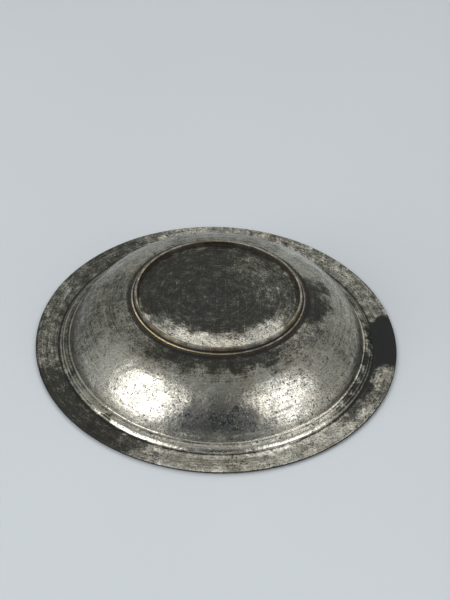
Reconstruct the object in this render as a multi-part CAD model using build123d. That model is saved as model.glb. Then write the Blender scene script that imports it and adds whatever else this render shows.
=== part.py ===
from build123d import *
from math import sqrt
import os

# A round offering plate, lying upside down: its rim is on the table and its foot ring is on top.
# All sizes are in mm. The plate's axis is Z, and the origin is on the axis at the table's surface.

# The spun sheet, from the rim inwards
rim_radius = 125.0           # outside of the rim
sheet = 1.0                  # thickness of the metal
rim_flat = 4.5               # width of the flat part of the rim, which the plate lies on
rim_lift = 1.5               # how far the rim's edge curls off the table
rim_edge_round = 0.35        # rounding of the sheet's cut edge
step_radius = 108.6          # foot of the step between the rim and the ledge
step_run = 2.2               # width of the step
step_rise = 2.0              # height of the step
ledge_width = 4.7            # from the step to the wall of the dish
ledge_rise = 1.0             # how much the ledge climbs across that width
small_bend = 1.2             # bend radius at the step and where the wall begins

# The bowl of the dish
dish_height = 38.8           # table to the outer face of the dish's floor
floor_radius = 51.0          # flat part of the floor
crown_bend = 55.0            # bend radius from the floor into the wall
crown_angle = 36.3           # degrees turned by that bend

# The foot ring, which stands on the outer face of the floor
ring_inside = 54.9           # inner radius
ring_wall = 1.6              # thickness at its top
ring_flare = 0.7             # how much wider its outer wall is at the bottom
ring_rise = 3.2              # top of the ring above the floor
ring_edge_round = 0.4        # rounding of the top edges
flange_width = 1.6           # out-turned strip at the ring's base
flange_thickness = 0.8
flange_edge_round = 0.3

# The solder that joins the ring to the dish
seam_rise = 0.45             # height up the flange's edge
seam_width = 1.5             # spread over the dish
inner_seam_rise = 0.8        # height up the ring's inner wall
inner_seam_width = 1.0

flange_radius = ring_inside + ring_wall + ring_flare + flange_width


def surface_height(radius):
    """Height of the dish's outer face near the ring, on the floor or on its first bend."""
    past_floor = max(0, radius - floor_radius)
    return dish_height - crown_bend + sqrt(crown_bend**2 - past_floor**2)


def dish_outline():
    """The sheet's outer face, from the rim's edge to the axis."""
    step_foot = (step_radius, sheet)
    step_head = (step_radius - step_run, sheet + step_rise)
    wall_foot = (step_head[0] - ledge_width, step_head[1] + ledge_rise)
    with BuildLine() as outline:
        floor = Line((0, dish_height), (floor_radius, dish_height))
        crown = JernArc(floor @ 1, floor % 1, crown_bend, -crown_angle)
        TangentArc(crown @ 1, wall_foot, tangent=crown % 1)
        Polyline(
            wall_foot,
            step_head,
            step_foot,
            (step_radius + rim_flat, sheet),
            (rim_radius, sheet + rim_lift),
        )
        corners = outline.vertices().sort_by(Axis.X)[-5:-1]
        fillet(corners, small_bend)
    return outline.line


def revolved(face):
    return revolve(Plane.XZ * face, Axis.Z)


def dish_body():
    """One spun sheet: rim, step, ledge, wall and floor."""
    with BuildSketch() as section:
        with BuildLine():
            add(dish_outline())
            offset(amount=sheet, side=Side.RIGHT)
        make_face()
        edge_corners = section.vertices().sort_by(Axis.X)[-2:]
        fillet(edge_corners, rim_edge_round)
    return revolved(section.sketch)


def dish_filled():
    """Everything from the dish's outer face down to the table, used to fit pieces onto that face."""
    with BuildSketch() as section:
        with BuildLine():
            add(dish_outline())
            Polyline(
                (rim_radius, sheet + rim_lift),
                (rim_radius, 0),
                (0, 0),
                (0, dish_height),
            )
        make_face()
    return revolved(section.sketch)


def foot_ring(dish):
    """The ring that the plate stands on in use, with a narrow flange turned out at its base."""
    top = dish_height + ring_rise
    wall_top = ring_inside + ring_wall
    wall_base = wall_top + ring_flare
    flange_top = surface_height(flange_radius) + flange_thickness
    below = surface_height(flange_radius) - sheet
    with BuildSketch() as section:
        with BuildLine():
            Polyline(
                (ring_inside, below),
                (ring_inside, top),
                (wall_top, top),
                (wall_base, flange_top),
                (flange_radius, flange_top),
                (flange_radius, below),
                close=True,
            )
        make_face()
        fillet(section.vertices().group_by(Axis.Y)[-1], ring_edge_round)
        outermost = section.vertices().group_by(Axis.X)[-1]
        fillet(outermost.sort_by(Axis.Y)[-1], flange_edge_round)
    return revolved(section.sketch) - dish


def solder_seam(dish, against, spread, rise):
    """A bevel of solder in the corner between the dish and an upright face of the ring."""
    toe = against + spread
    low = surface_height(max(against, toe)) - sheet
    with BuildSketch() as section:
        with BuildLine():
            Polyline(
                (against, surface_height(against) + rise),
                (toe, surface_height(toe)),
                (toe, low),
                (against, low),
                close=True,
            )
        make_face()
    return revolved(section.sketch) - dish


os.makedirs("parts", exist_ok=True)
filled = dish_filled()
pieces = {
    "dish_body": dish_body(),
    "foot_ring": foot_ring(filled),
    "outer_solder_seam": solder_seam(filled, flange_radius, seam_width, seam_rise),
    "inner_solder_seam": solder_seam(filled, ring_inside, -inner_seam_width, inner_seam_rise),
}
for name, piece in pieces.items():
    export_step(piece, f"parts/{name}.step")
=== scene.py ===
# A worn metal offering plate lying upside down on a pale table, with its foot ring on top.
# Metres, in the frame of the CAD model: +Z up, origin on the plate's axis at the table.
import bmesh
import bpy
from math import atan2, cos, exp, pi, radians, sin, sqrt
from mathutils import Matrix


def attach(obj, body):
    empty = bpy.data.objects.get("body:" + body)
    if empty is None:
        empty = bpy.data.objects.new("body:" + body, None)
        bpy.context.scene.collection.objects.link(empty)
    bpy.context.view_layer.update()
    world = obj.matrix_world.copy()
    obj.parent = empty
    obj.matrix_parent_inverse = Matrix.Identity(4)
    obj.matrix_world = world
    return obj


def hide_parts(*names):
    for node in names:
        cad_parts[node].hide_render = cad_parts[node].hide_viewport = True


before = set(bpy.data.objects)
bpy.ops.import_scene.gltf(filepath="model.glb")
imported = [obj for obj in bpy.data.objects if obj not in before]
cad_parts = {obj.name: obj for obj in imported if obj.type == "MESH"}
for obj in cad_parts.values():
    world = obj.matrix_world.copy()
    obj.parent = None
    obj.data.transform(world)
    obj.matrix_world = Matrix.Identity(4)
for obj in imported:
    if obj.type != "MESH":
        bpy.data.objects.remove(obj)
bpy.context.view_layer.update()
mm = 0.001


# small tools

def linear(hexColour):
    # sRGB hex to linear red, green, blue, alpha
    channels = [int(hexColour[i:i + 2], 16) / 255 for i in (0, 2, 4)]
    return tuple([c / 12.92 if c <= 0.04045 else ((c + 0.055) / 1.055) ** 2.4 for c in channels] + [1.0])


def addNode(tree, kind, inputs=None, **settings):
    # one shader node; inputs holds values or the output sockets that feed it
    made = tree.nodes.new("ShaderNode" + kind)
    for name, value in settings.items():
        setattr(made, name, value)
    for key, value in (inputs or {}).items():
        if isinstance(value, bpy.types.NodeSocket):
            tree.links.new(value, made.inputs[key])
        else:
            made.inputs[key].default_value = value
    return made


def newMaterial(name):
    material = bpy.data.materials.new(name)
    material.use_nodes = True
    material.node_tree.nodes.clear()
    return material, material.node_tree


def arcPoints(centre, radius, start, end, count):
    # points along an arc in the section, angles in degrees
    steps = [radians(start + (end - start) * i / count) for i in range(count + 1)]
    return [(centre[0] + radius * cos(a), centre[1] + radius * sin(a)) for a in steps]


def roundCorners(points, radius, count):
    # a line through the points with each inner corner turned into an arc
    rounded = [points[0]]
    for before, corner, after in zip(points, points[1:], points[2:]):
        toBefore = (before[0] - corner[0], before[1] - corner[1])
        toAfter = (after[0] - corner[0], after[1] - corner[1])
        lengthBefore = sqrt(toBefore[0] ** 2 + toBefore[1] ** 2)
        lengthAfter = sqrt(toAfter[0] ** 2 + toAfter[1] ** 2)
        reach = min(radius, lengthBefore * 0.45, lengthAfter * 0.45)
        for i in range(count + 1):
            t = i / count
            weightBefore, weightAfter = (1 - t) ** 2 * reach / lengthBefore, t ** 2 * reach / lengthAfter
            rounded.append((corner[0] + toBefore[0] * weightBefore + toAfter[0] * weightAfter,
                            corner[1] + toBefore[1] * weightBefore + toAfter[1] * weightAfter))
    return rounded + [points[-1]]


def divide(points, longest):
    # extra points so that no stretch is longer than this
    divided = [points[0]]
    for start, end in zip(points, points[1:]):
        length = sqrt((end[0] - start[0]) ** 2 + (end[1] - start[1]) ** 2)
        pieces = max(1, int(length / longest + 0.99))
        divided += [(start[0] + (end[0] - start[0]) * i / pieces,
                     start[1] + (end[1] - start[1]) * i / pieces)
                    for i in range(1, pieces + 1)]
    return divided


def offsetLine(points, distance):
    # the same line moved sideways along its own normals
    moved = []
    for i, point in enumerate(points):
        before, after = points[max(0, i - 1)], points[min(len(points) - 1, i + 1)]
        dx, dy = after[0] - before[0], after[1] - before[1]
        length = sqrt(dx * dx + dy * dy)
        moved.append((max(0, point[0] + distance * dy / length), point[1] - distance * dx / length))
    return moved


def spin(name, section, turns, relief=None):
    # turns a section (mm) about the axis; relief shifts each point (mm) for wear and hand work
    vertices, rings, faces = [], [], []
    for radius, height in section:
        if radius < 1e-6:
            rings.append([len(vertices)] * turns)
            vertices.append((0, 0, height * mm))
            continue
        rings.append(list(range(len(vertices), len(vertices) + turns)))
        for i in range(turns):
            angle = 2 * pi * i / turns
            dr, dz = relief(radius, height, angle) if relief else (0, 0)
            vertices.append(((radius + dr) * cos(angle) * mm, (radius + dr) * sin(angle) * mm,
                             (height + dz) * mm))
    for lower, upper in zip(rings, rings[1:] + rings[:1]):
        for i in range(turns):
            j = (i + 1) % turns
            corners = list(dict.fromkeys([lower[i], lower[j], upper[j], upper[i]]))
            if len(corners) > 2:
                faces.append(corners)
    mesh = bpy.data.meshes.new(name)
    mesh.from_pydata(vertices, [], faces)
    shape = bmesh.new()
    shape.from_mesh(mesh)
    bmesh.ops.recalc_face_normals(shape, faces=shape.faces)
    shape.to_mesh(mesh)
    shape.free()
    mesh.shade_smooth()
    made = bpy.data.objects.new(name, mesh)
    bpy.context.scene.collection.objects.link(made)
    return made


# materials

def plateMaterial(name, look):
    # Brass sheet with worn silver plate: spun, rubbed by hands and shelves, then blackened by air and heat.
    # A wear value, which also carries painted highlights, painted shade and painted reflections, drives it
    # all: 0 is black tarnish, 0.5 is dull grey plate, 1 is rubbed bright.
    material, tree = newMaterial(name)
    place = addNode(tree, "TexCoord").outputs["Object"]
    inMm = addNode(tree, "VectorMath", {0: place, "Scale": 1000.0}, operation="SCALE").outputs[0]
    flat = addNode(tree, "VectorMath", {0: inMm, 1: (1, 1, 0)}, operation="MULTIPLY").outputs[0]

    # ragged borders: each patch is read at a place shifted a few millimetres by noise
    wander = addNode(tree, "TexNoise", {"Vector": inMm, "Scale": 0.07, "Detail": 7.0, "Roughness": 0.7})
    shift = addNode(tree, "VectorMath", {0: wander.outputs["Color"], 1: (0.5, 0.5, 0.5)},
                    operation="SUBTRACT")
    spread = addNode(tree, "VectorMath", {0: shift.outputs[0], 1: (look["wander"], look["wander"], 0)},
                     operation="MULTIPLY")
    ragged = addNode(tree, "VectorMath", {0: flat, 1: spread.outputs[0]}, operation="ADD").outputs[0]
    raggedRadius = addNode(tree, "VectorMath", {0: ragged}, operation="LENGTH").outputs["Value"]
    direction = addNode(tree, "VectorMath", {0: ragged}, operation="NORMALIZE").outputs[0]
    radius = addNode(tree, "VectorMath", {0: flat}, operation="LENGTH").outputs["Value"]

    wearAndPaintedLight = look["wearAndPaintedLight"]
    for patch in look["patches"]:
        turn, half, soft = radians(patch["azimuth"]), patch["half"], patch.get("soft", 9)
        facing = addNode(tree, "VectorMath", {0: direction, 1: (cos(turn), sin(turn), 0)},
                         operation="DOT_PRODUCT")
        angular = addNode(tree, "MapRange", {
            "Value": facing.outputs["Value"],
            "From Min": cos(radians(half + soft)) if half + soft < 180 else -2,
            "From Max": cos(radians(max(0, half - soft))) if half + soft < 180 else -1.5},
            interpolation_type="SMOOTHSTEP")
        inner = addNode(tree, "MapRange", {
            "Value": raggedRadius, "From Min": patch["inner"] - patch["edge"],
            "From Max": patch["inner"] + patch["edge"],
            "To Max": patch["wearAndPaintedLight"]}, interpolation_type="SMOOTHSTEP")
        outer = addNode(tree, "MapRange", {
            "Value": raggedRadius, "From Min": patch["outer"] + patch["edge"],
            "From Max": patch["outer"] - patch["edge"]},
            interpolation_type="SMOOTHSTEP")
        both = addNode(tree, "Math", {0: inner.outputs[0], 1: outer.outputs[0]}, operation="MULTIPLY")
        wearAndPaintedLight = addNode(tree, "Math", {0: both.outputs[0], 1: angular.outputs[0], 2: wearAndPaintedLight},
                       operation="MULTIPLY_ADD").outputs[0]

    # lines all the way round, at the bends and edges: some wear, and painted highlights, painted shade and
    # painted reflection
    for line in look["lines"]:
        away = addNode(tree, "Math", {0: radius, 1: line["radius"]}, operation="SUBTRACT")
        distance = addNode(tree, "Math", {0: away.outputs[0]}, operation="ABSOLUTE")
        near = addNode(tree, "MapRange", {
            "Value": distance.outputs[0], "From Min": line["width"], "From Max": line["width"] * 0.3,
            "To Max": line["wearAndPaintedLight"]},
            interpolation_type="SMOOTHSTEP")
        wearAndPaintedLight = addNode(tree, "Math", {0: wearAndPaintedLight, 1: near.outputs[0]}, operation="ADD").outputs[0]

    # mottling of 3 to 10 mm, finer specks, and the tool's lines round the axis
    mottle = addNode(tree, "TexNoise", {"Vector": inMm, "Scale": 0.16, "Detail": 8.0, "Roughness": 0.72})
    speck = addNode(tree, "TexNoise", {"Vector": inMm, "Scale": 0.75, "Detail": 5.0, "Roughness": 0.7})
    outwards = addNode(tree, "VectorMath", {0: flat}, operation="NORMALIZE")
    slow = addNode(tree, "VectorMath", {0: outwards.outputs[0], "Scale": 2.0}, operation="SCALE")
    parts = addNode(tree, "SeparateXYZ", {0: slow.outputs[0]})
    along = addNode(tree, "CombineXYZ", {"X": parts.outputs["X"], "Y": parts.outputs["Y"], "Z": radius})
    toolLines = addNode(tree, "TexNoise",
                        {"Vector": along.outputs[0], "Scale": 0.9, "Detail": 6.0, "Roughness": 0.8})
    hammered = addNode(tree, "TexNoise", {"Vector": inMm, "Scale": 0.07, "Detail": 3.0, "Roughness": 0.55})
    for texture, amount in ((mottle, look["mottle"]), (speck, look["speck"]),
                            (toolLines, look["toolLines"])):
        centred = addNode(tree, "Math", {0: texture.outputs[0], 1: 0.5}, operation="SUBTRACT")
        wearAndPaintedLight = addNode(tree, "Math", {0: centred.outputs[0], 1: amount, 2: wearAndPaintedLight},
                       operation="MULTIPLY_ADD").outputs[0]

    # fine straight scratches from shelves and other plates, in two directions, each a few centimetres long
    for turn, stretch in ((0.6, (1.6, 0.035, 0.3)), (-0.9, (1.3, 0.045, 0.3))):
        scratchPlace = addNode(tree, "Mapping", {"Vector": inMm, "Rotation": (0, 0, turn), "Scale": stretch})
        scratches = addNode(tree, "TexNoise",
                            {"Vector": scratchPlace.outputs[0], "Scale": 1.0, "Detail": 2.0})
        thin = addNode(tree, "MapRange", {"Value": scratches.outputs[0], "From Min": 0.66, "From Max": 0.7,
                                          "To Max": look["scratch"]})
        wearAndPaintedLight = addNode(tree, "Math", {0: wearAndPaintedLight, 1: thin.outputs[0]}, operation="ADD").outputs[0]

    # flecks of black corrosion, drawn out round the axis along the tool's lines, 1 by 3 mm
    farther = addNode(tree, "VectorMath", {0: along.outputs[0], 1: (16.0, 16.0, 0.5)}, operation="MULTIPLY")
    fleckNoise = addNode(tree, "TexNoise",
                         {"Vector": farther.outputs[0], "Scale": 1.0, "Detail": 5.0, "Roughness": 0.7})
    flecks = addNode(tree, "MapRange", {"Value": fleckNoise.outputs[0], "From Min": 0.6, "From Max": 0.68,
                                        "To Max": look["fleck"]})
    wearAndPaintedLight = addNode(tree, "Math", {0: wearAndPaintedLight, 1: flecks.outputs[0]}, operation="ADD").outputs[0]

    # the inside faces down as the plate lies, and is evenly clean
    normal = addNode(tree, "SeparateXYZ", {0: addNode(tree, "NewGeometry").outputs["Normal"]})
    inside = addNode(tree, "Math", {0: normal.outputs["Z"], 1: -0.05}, operation="LESS_THAN")
    wearAndPaintedLight = addNode(tree, "Mix", {"Factor": inside.outputs[0], 2: wearAndPaintedLight, 3: 0.62},
                   data_type="FLOAT").outputs[0]

    # pits: small black spots of corrosion, 0.3 to 1 mm
    pitNoise = addNode(tree, "TexNoise", {"Vector": inMm, "Scale": 1.05, "Detail": 3.0, "Roughness": 0.6})
    pits = addNode(tree, "MapRange",
                   {"Value": pitNoise.outputs[0], "From Min": look["pitFrom"],
                    "From Max": look["pitFrom"] + 0.05})
    pitted = addNode(tree, "Math", {0: pits.outputs[0], 1: -0.6, 2: wearAndPaintedLight},
                     operation="MULTIPLY_ADD").outputs[0]

    colour = addNode(tree, "ValToRGB", {"Fac": pitted})
    ramp = colour.color_ramp
    while len(ramp.elements) < len(look["colours"]):
        ramp.elements.new(0.5)
    for element, (position, hexColour) in zip(ramp.elements, look["colours"]):
        element.position, element.color = position, linear(hexColour)
    tint = addNode(tree, "TexNoise", {"Vector": inMm, "Scale": 0.035, "Detail": 2.0})
    warmth = addNode(tree, "MapRange",
                     {"Value": tint.outputs[0], "From Min": 0.42, "From Max": 0.62,
                      "To Max": look["warmth"]})
    warm = addNode(tree, "Mix",
                   {"Factor": warmth.outputs[0], 6: colour.outputs[0], 7: linear(look["warmColour"])},
                   data_type="RGBA", blend_type="MULTIPLY")

    rough = addNode(tree, "MapRange", {"Value": pitted, "From Min": 0.15, "From Max": 0.95,
                                       "To Min": look["roughDull"], "To Max": look["roughBright"]})
    metal = addNode(tree, "MapRange",
                    {"Value": pitted, "From Min": 0.0, "From Max": 0.4, "To Min": 0.35, "To Max": 1.0})

    # low relief: tool lines, pits and grain
    hammerBump = addNode(tree, "Bump",
                         {"Height": hammered.outputs[0], "Strength": look["hammerBump"], "Distance": 0.002})
    lineBump = addNode(tree, "Bump",
                       {"Height": toolLines.outputs[0], "Strength": look["lineBump"], "Distance": 0.0003,
                                      "Normal": hammerBump.outputs[0]})
    grainBump = addNode(tree, "Bump",
                        {"Height": speck.outputs[0], "Strength": look["grainBump"], "Distance": 0.0003,
                                       "Normal": lineBump.outputs[0]})
    pitDepth = addNode(tree, "Math", {0: pits.outputs[0], 1: -1.0}, operation="MULTIPLY")
    pitBump = addNode(tree, "Bump", {"Height": pitDepth.outputs[0], "Strength": 0.5, "Distance": 0.00012,
                                     "Normal": grainBump.outputs[0]})

    surface = addNode(tree, "BsdfPrincipled", {
        "Base Color": warm.outputs[2], "Metallic": metal.outputs[0], "Roughness": rough.outputs[0],
        "Normal": pitBump.outputs[0]})
    addNode(tree, "OutputMaterial", {"Surface": surface.outputs[0]})
    return material


# the dish

dish = {
    "rim": 125.0, "sheet": 1.0, "rimFlat": 4.5, "rimLift": 1.5, "edgeRound": 0.35,
    "step": 108.6, "stepRun": 2.2, "stepRise": 2.0, "ledge": 4.7, "ledgeRise": 1.0, "smallBend": 1.2,
    "height": 38.8, "floor": 51.0, "crownBend": 55.0, "crownAngle": 36.3, "turns": 720,
}
dishLook = {
    "wearAndPaintedLight": 0.48, "wander": 32.0, "mottle": 0.85, "speck": 0.6, "toolLines": 0.7, "pitFrom": 0.585,
    "scratch": 0.09, "fleck": -0.4,
    "colours": [(0.04, "100F0E"), (0.3, "403F38"), (0.45, "6F6E65"), (0.6, "A5A297"), (0.85, "D4D0C3")],
    "warmth": 0.35, "warmColour": "F2E6D8", "roughDull": 0.58, "roughBright": 0.13,
    "lineBump": 0.28, "grainBump": 0.16, "hammerBump": 0.35,
    # azimuth 0 is +X and 90 is the far side; sizes in mm
    "patches": [
        # dark rim, front left
        {"azimuth": -137, "half": 21, "inner": 108, "outer": 140, "edge": 2, "wearAndPaintedLight": -0.25},
        # khaki rim, left
        {"azimuth": 178, "half": 22, "inner": 108, "outer": 140, "edge": 2, "wearAndPaintedLight": -0.1},
        # duller, back left
        {"azimuth": 135, "half": 15, "inner": 108, "outer": 140, "edge": 2, "wearAndPaintedLight": -0.16},
        {"azimuth": -75, "half": 42, "inner": 108, "outer": 140, "edge": 2, "wearAndPaintedLight": 0.09},     # paler, front
        # paler rim, back right
        {"azimuth": 33, "half": 24, "inner": 104, "outer": 140, "edge": 2, "wearAndPaintedLight": -0.02},
        # scorched
        {"azimuth": -1, "half": 10, "inner": 106, "outer": 140, "edge": 3, "wearAndPaintedLight": -0.9, "soft": 4},
        # its run along the step
        {"azimuth": -26, "half": 18, "inner": 104, "outer": 113, "edge": 3, "wearAndPaintedLight": -0.34},
        # smooth, left
        {"azimuth": 172, "half": 44, "inner": 58, "outer": 103, "edge": 3, "wearAndPaintedLight": 0.02, "soft": 16},
        {"azimuth": 140, "half": 20, "inner": 60, "outer": 90, "edge": 5, "wearAndPaintedLight": 0.12},
        {"azimuth": 75, "half": 35, "inner": 58, "outer": 104, "edge": 4, "wearAndPaintedLight": 0.1, "soft": 14},
        {"azimuth": 18, "half": 34, "inner": 60, "outer": 101, "edge": 5, "wearAndPaintedLight": 0.2, "soft": 12},
        # stain beside the ring, right
        {"azimuth": -2, "half": 17, "inner": 56, "outer": 73, "edge": 4, "wearAndPaintedLight": -0.42},
        # darker in front of the ring: a painted dark reflection
        {"azimuth": -90, "half": 36, "inner": 56, "outer": 70, "edge": 4, "wearAndPaintedLight": -0.22, "soft": 14},
        # rubbed bright
        {"azimuth": -90, "half": 62, "inner": 76, "outer": 107, "edge": 9, "wearAndPaintedLight": 0.24, "soft": 16},
        # painted highlight on the step, right
        {"azimuth": -60, "half": 13, "inner": 105.5, "outer": 109.5, "edge": 2, "wearAndPaintedLight": 0.3},
        # painted highlight on the step, left
        {"azimuth": -120, "half": 12, "inner": 105.5, "outer": 109.5, "edge": 2, "wearAndPaintedLight": 0.2},
        # dull floor in the ring
        {"azimuth": 0, "half": 180, "inner": -9, "outer": 54, "edge": 3, "wearAndPaintedLight": -0.24},
        # scuffed crescent
        {"azimuth": -85, "half": 55, "inner": 40, "outer": 56, "edge": 6, "wearAndPaintedLight": 0.44, "soft": 20},
        {"azimuth": 30, "half": 40, "inner": 22, "outer": 50, "edge": 8, "wearAndPaintedLight": 0.12, "soft": 20},
    ],
    "lines": [
        # darker line at the foot of the step
        {"radius": 109.4, "width": 0.9, "wearAndPaintedLight": -0.3},
        # painted highlights, with some rubbing, along the step's two bends and the wall's foot
        {"radius": 107.9, "width": 0.7, "wearAndPaintedLight": 0.3},
        {"radius": 106.2, "width": 0.6, "wearAndPaintedLight": 0.28},
        {"radius": 102.0, "width": 0.7, "wearAndPaintedLight": 0.22},
        # painted dark reflection just above the wall's foot
        {"radius": 103.2, "width": 0.8, "wearAndPaintedLight": -0.15},
        # painted shade on the rim's edge
        {"radius": 125.2, "width": 0.8, "wearAndPaintedLight": -0.5},
        # painted shadow beside the ring
        {"radius": 60.3, "width": 2.4, "wearAndPaintedLight": -0.26},
    ],
}
# shallow knocks in the sheet: azimuth, radius, size and depth in mm
dents = [
    (-118, 92, 9, 0.22), (-66, 90, 10, 0.24), (-98, 84, 7, 0.16), (-40, 95, 8, 0.18), (-140, 88, 12, 0.25),
    (25, 80, 12, 0.22), (70, 96, 10, 0.2), (150, 92, 12, 0.2), (-20, 76, 9, 0.18), (-80, 99, 6, 0.12),
    (-150, 117, 8, 0.2), (-60, 118, 9, 0.2), (40, 117, 9, 0.22), (110, 118, 8, 0.2),
]


def dishSection():
    crownCentre = (dish["floor"], dish["height"] - dish["crownBend"])
    turn = radians(dish["crownAngle"])
    end = (crownCentre[0] + dish["crownBend"] * sin(turn), crownCentre[1] + dish["crownBend"] * cos(turn))
    head = (dish["step"] - dish["stepRun"], dish["sheet"] + dish["stepRise"])
    foot = (head[0] - dish["ledge"], head[1] + dish["ledgeRise"])
    chord = (foot[0] - end[0], foot[1] - end[1])
    bend = atan2(-chord[1], chord[0]) - turn       # half of what the wall's arc turns
    radius = sqrt(chord[0] ** 2 + chord[1] ** 2) / (2 * sin(bend))
    centre = (end[0] - radius * sin(turn), end[1] - radius * cos(turn))
    crown = arcPoints(crownCentre, dish["crownBend"], 90, 90 - dish["crownAngle"], 30)
    wall = arcPoints(centre, radius, 90 - dish["crownAngle"], 90 - dish["crownAngle"] - 2 * bend * 180 / pi,
                     40)
    corners = roundCorners([wall[-2], foot, head, (dish["step"], dish["sheet"]),
                            (dish["step"] + dish["rimFlat"], dish["sheet"]),
                            (dish["rim"], dish["sheet"] + dish["rimLift"])], dish["smallBend"], 6)
    outer = divide([(0, dish["height"])] + crown + wall[1:-2] + corners, 1.4)
    inner = offsetLine(outer, dish["sheet"])
    inner[0] = (0, dish["height"] - dish["sheet"])
    edge = roundCorners([outer[-2], outer[-1], inner[-1], inner[-2]], dish["edgeRound"], 4)
    return outer[:-1] + edge[1:-1] + inner[-2::-1]


# the uneven rim edge, mm: where it starts, how far it runs, how far in and down it is bent;
# deepest is the most that knocks may add up to
rimWave = {"from": 113, "run": 12, "inward": 0.25, "down": 0.27, "deepest": 0.4}


def dishRelief(radius, height, angle):
    # hand work and use: knocks, a slightly uneven rim, and a rim edge that is not quite round
    sink = 0.0
    for azimuth, place, size, depth in dents:
        dx = radius * cos(angle) - place * cos(radians(azimuth))
        dy = radius * sin(angle) - place * sin(radians(azimuth))
        distance = (dx * dx + dy * dy) / (size * size)
        if distance < 6:
            sink += depth * exp(-distance)
    outward = max(0, (radius - rimWave["from"]) / rimWave["run"])
    wave = 0.5 + 0.28 * sin(2 * angle + 0.7) + 0.14 * sin(5 * angle + 2.1) + 0.08 * sin(11 * angle)
    if radius > dish["step"] - dish["stepRun"]:
        sink *= outward          # the zone that lies on the table stays flat
    shrink = rimWave["inward"] * outward * (0.5 + 0.5 * sin(3 * angle + 1.0))
    return -shrink, -min(sink, rimWave["deepest"]) - rimWave["down"] * outward * wave


dishMaterial = plateMaterial("tarnishedPlate", dishLook)
plate = spin("dishSheet", dishSection(), dish["turns"], dishRelief)
plate.data.materials.append(dishMaterial)
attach(plate, "root")
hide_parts("dish_body")
print("dish made")

# the foot ring

ring = {
    "inside": 54.9, "wall": 1.6, "flare": 0.7, "rise": 3.2, "topRound": 0.4,
    "flange": 1.6, "flangeThickness": 0.8, "flangeRound": 0.3, "turns": 720,
    # how far the section runs straight beside each rounded edge
    "insideLead": 2, "flareLead": (0.25, 1), "flangeLead": 0.8, "edgeLead": 0.6,
}
ringLook = {
    "wearAndPaintedLight": 0.47, "wander": 3.0, "mottle": 0.9, "speck": 0.5, "toolLines": 0.3, "pitFrom": 0.66,
    "scratch": 0.1, "fleck": -0.2,
    "colours": [(0.02, "14120F"), (0.2, "35322A"), (0.45, "77736A"), (0.62, "A19C90"), (0.85, "DACDA6")],
    "warmth": 0.6, "warmColour": "F0DFB6", "roughDull": 0.6, "roughBright": 0.25,
    "lineBump": 0.1, "grainBump": 0.15, "hammerBump": 0.1,
    "patches": [
        # painted golden glint on the flange, front left
        {"azimuth": -122, "half": 38, "inner": 57.9, "outer": 62, "edge": 0.8, "wearAndPaintedLight": 0.4, "soft": 20},
        {"azimuth": 80, "half": 90, "inner": 57.2, "outer": 62, "edge": 0.8, "wearAndPaintedLight": -0.1, "soft": 20},
    ],
    "lines": [
        {"radius": 57.35, "width": 0.55, "wearAndPaintedLight": -0.75},      # painted shade in the corner of the flange
        {"radius": 55.7, "width": 0.8, "wearAndPaintedLight": 0.04},         # the worn top
        # painted highlight along the flange's rounded edge
        {"radius": 58.5, "width": 0.5, "wearAndPaintedLight": 0.08},
    ],
}


def surfaceHeight(radius):
    beyond = max(0, radius - dish["floor"])      # how far out on the bend round the floor
    return dish["height"] - dish["crownBend"] + sqrt(dish["crownBend"] ** 2 - beyond ** 2)


def ringSection():
    top = dish["height"] + ring["rise"]
    wallTop = ring["inside"] + ring["wall"]
    wallBase = wallTop + ring["flare"]
    outside = wallBase + ring["flange"]
    flangeTop = surfaceHeight(outside) + ring["flangeThickness"]
    line = roundCorners([(ring["inside"], top - ring["insideLead"]), (ring["inside"], top), (wallTop, top),
                         (wallTop + ring["flareLead"][0], top - ring["flareLead"][1])], ring["topRound"], 6)
    bead = roundCorners([(wallBase + ring["flangeLead"], flangeTop), (outside, flangeTop),
                         (outside, flangeTop - ring["edgeLead"])], ring["flangeRound"], 5)
    under = [(r, surfaceHeight(r)) for r in (outside, wallBase, wallTop, ring["inside"])]
    return [under[-1]] + line + [(wallBase, flangeTop + 0.02)] + bead + under[:-1]


footRing = spin("footRing", ringSection(), ring["turns"])
footRing.data.materials.append(plateMaterial("wornRingPlate", ringLook))
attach(footRing, "root")
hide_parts("foot_ring")
print("ring made")

# the solder

seams = {
    "outer": {"node": "outer_solder_seam", "against": 58.8, "spread": 1.5, "rise": 0.4},
    "inner": {"node": "inner_solder_seam", "against": 54.9, "spread": -1.0, "rise": 0.8},
}
# the section's middle point as shares of the spread and the rise, and the height left at the toe, mm
seamShape = {"middle": 0.42, "middleRise": 0.45, "toeRise": 0.01}


def solderMaterial():
    # soft tin solder, wiped on with an iron, coloured a dull brown-black, slightly lumpy
    material, tree = newMaterial("darkSolder")
    place = addNode(tree, "TexCoord").outputs["Object"]
    lumps = addNode(tree, "TexNoise", {"Vector": place, "Scale": 420.0, "Detail": 4.0, "Roughness": 0.6})
    colour = addNode(tree, "ValToRGB", {"Fac": lumps.outputs[0]})
    colour.color_ramp.elements[0].position, colour.color_ramp.elements[0].color = 0.3, linear("17130E")
    colour.color_ramp.elements[1].position, colour.color_ramp.elements[1].color = 0.75, linear("4B4032")
    relief = addNode(tree, "Bump", {"Height": lumps.outputs[0], "Strength": 0.6, "Distance": 0.0002})
    surface = addNode(tree, "BsdfPrincipled", {
        "Base Color": colour.outputs[0], "Metallic": 0.4, "Roughness": 0.6, "Normal": relief.outputs[0]})
    addNode(tree, "OutputMaterial", {"Surface": surface.outputs[0]})
    return material


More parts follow.
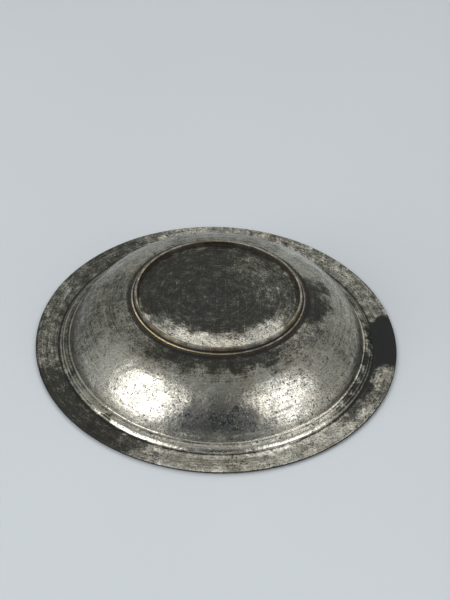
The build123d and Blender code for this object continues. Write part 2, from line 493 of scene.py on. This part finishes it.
solder = solderMaterial()
for seam in seams.values():
    toe = seam["against"] + seam["spread"]
    middle = seam["against"] + seam["spread"] * seamShape["middle"]
    base = surfaceHeight(seam["against"])
    section = [(seam["against"], base), (seam["against"], base + seam["rise"]),
               (middle, surfaceHeight(middle) + seam["rise"] * seamShape["middleRise"]),
               (toe, surfaceHeight(toe) + seamShape["toeRise"])]
    piece = spin(seam["node"] + "Look", section if seam["spread"] > 0 else section[::-1], 360)
    piece.data.materials.append(solder)
    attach(piece, "root")
    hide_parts(seam["node"])
print("solder made")

# table, light and camera

table = {"size": 24.0, "drop": 0.00003, "colour": "D6DADC"}


def tableMaterial():
    # a plain pale board with a matt paint, which scatters light evenly
    material, tree = newMaterial("paleTable")
    place = addNode(tree, "TexCoord").outputs["Object"]
    cloud = addNode(tree, "TexNoise", {"Vector": place, "Scale": 3.0, "Detail": 3.0})
    amount = addNode(tree, "MapRange", {"Value": cloud.outputs[0], "To Min": 0.96, "To Max": 1.04})
    shade = addNode(tree, "VectorMath", {0: linear(table["colour"])[:3], "Scale": amount.outputs[0]},
                    operation="SCALE")
    surface = addNode(tree, "BsdfPrincipled", {"Base Color": shade.outputs[0], "Roughness": 0.75})
    addNode(tree, "OutputMaterial", {"Surface": surface.outputs[0]})
    return material


bpy.ops.mesh.primitive_plane_add(size=table["size"], location=(0, 0, -table["drop"]))
floor = bpy.context.object
floor.name = "table"
floor.data.materials.append(tableMaterial())

# two tall windows in front, left and right of the viewer, with a dark wall between them
windows = [
    {"name": "windowLeft", "azimuth": -147, "height": 1.5, "distance": 2.7, "width": 2.2, "tall": 3.0,
     "watts": 72},
    {"name": "windowRight", "azimuth": -34, "height": 1.45, "distance": 2.7, "width": 1.8, "tall": 3.0,
     "watts": 38},
    {"name": "ceiling", "azimuth": 75, "height": 3.0, "distance": 2.2, "width": 3.0, "tall": 2.4,
     "watts": 26},
]
for window in windows:
    lamp = bpy.data.lights.new(window["name"], "AREA")
    lamp.shape, lamp.energy = "RECTANGLE", window["watts"]
    lamp.size, lamp.size_y = window["width"], window["tall"]
    lamp.color = linear("FBFCFF")[:3]
    holder = bpy.data.objects.new(window["name"], lamp)
    turn = radians(window["azimuth"])
    holder.location = (window["distance"] * cos(turn), window["distance"] * sin(turn), window["height"])
    holder.rotation_euler = (-holder.location).to_track_quat("-Z", "Y").to_euler()
    bpy.context.scene.collection.objects.link(holder)

world = bpy.data.worlds.new("room")
bpy.context.scene.world = world
world.use_nodes = True
world.node_tree.nodes.clear()
sky = world.node_tree
towards = addNode(sky, "SeparateXYZ", {0: addNode(sky, "TexCoord").outputs["Generated"]})
frontness = addNode(sky, "MapRange", {"Value": towards.outputs["Y"], "From Min": -0.75, "From Max": 0.1},
                    interpolation_type="SMOOTHSTEP")
roomColour = addNode(sky, "Mix", {"Factor": frontness.outputs[0], 6: linear("1B2838"), 7: linear("A8ACAC")},
                     data_type="RGBA")
# the eye sees a pale room, while the metal reflects the darker one
seen = addNode(sky, "LightPath").outputs["Is Camera Ray"]
shown = addNode(sky, "Mix", {"Factor": seen, 6: roomColour.outputs[2], 7: linear("C6CBCE")},
                data_type="RGBA")
glow = addNode(sky, "Background", {"Color": shown.outputs[2], "Strength": 1.0})
addNode(sky, "OutputWorld", {"Surface": glow.outputs[0]})

camera = bpy.data.objects.new("camera", bpy.data.cameras.new("camera"))
camera.data.lens = 66
camera.data.sensor_width = 36
camera.location = (-0.0102, -0.5662, 0.5200)
camera.rotation_euler = (radians(49.36), radians(-1.745), 0)
bpy.context.scene.collection.objects.link(camera)
bpy.context.scene.camera = camera
bpy.context.scene.view_settings.view_transform = "Standard"
print("stage set")
